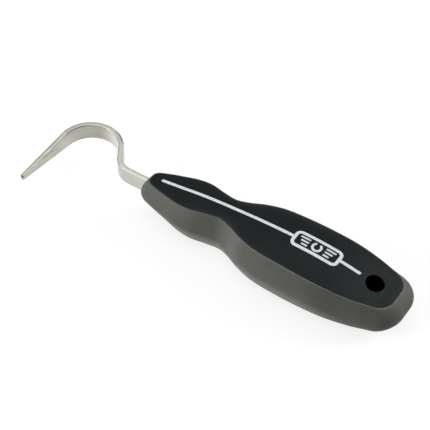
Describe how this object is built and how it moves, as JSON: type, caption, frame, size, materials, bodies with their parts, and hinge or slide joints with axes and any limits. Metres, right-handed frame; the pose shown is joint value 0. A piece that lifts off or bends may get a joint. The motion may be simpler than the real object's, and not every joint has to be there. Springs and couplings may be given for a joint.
{
  "type": "hoof pick",
  "caption": "Hoof pick with a flat steel hook bent to one side and a waisted two-tone moulded handle with a hang hole.",
  "frame": {"origin": "centre of the bounding box in plan, at the lowest point of the handle's underside", "axes": "+X along the handle from the hook towards the hang hole, +Y towards the side the hook's arch bulges to (the prong points to -Y), +Z out of the face with the printed line"},
  "size_m": [0.199, 0.0496, 0.0292],
  "materials": {
    "steel": "satin nickel-grey strip, fine lengthwise brushing, softened edges",
    "core_plastic": "hard black moulding, satin, seen only in the hang hole",
    "grey_grip": "matt warm-grey soft moulding with a fine eggshell texture",
    "black_panel": "matt black soft-touch moulding with a fine eggshell texture",
    "print": "thin silver-white print, satin"
  },
  "bodies": {
    "root": {"pick_hook": "steel", "handle_core": "core_plastic", "grip_shell": "grey_grip", "top_panel": "black_panel", "bottom_panel": "black_panel", "line_front": "print", "line_rear": "print", "badge_frame": "print", "badge_mark": "print"}
  },
  "joints": []
}
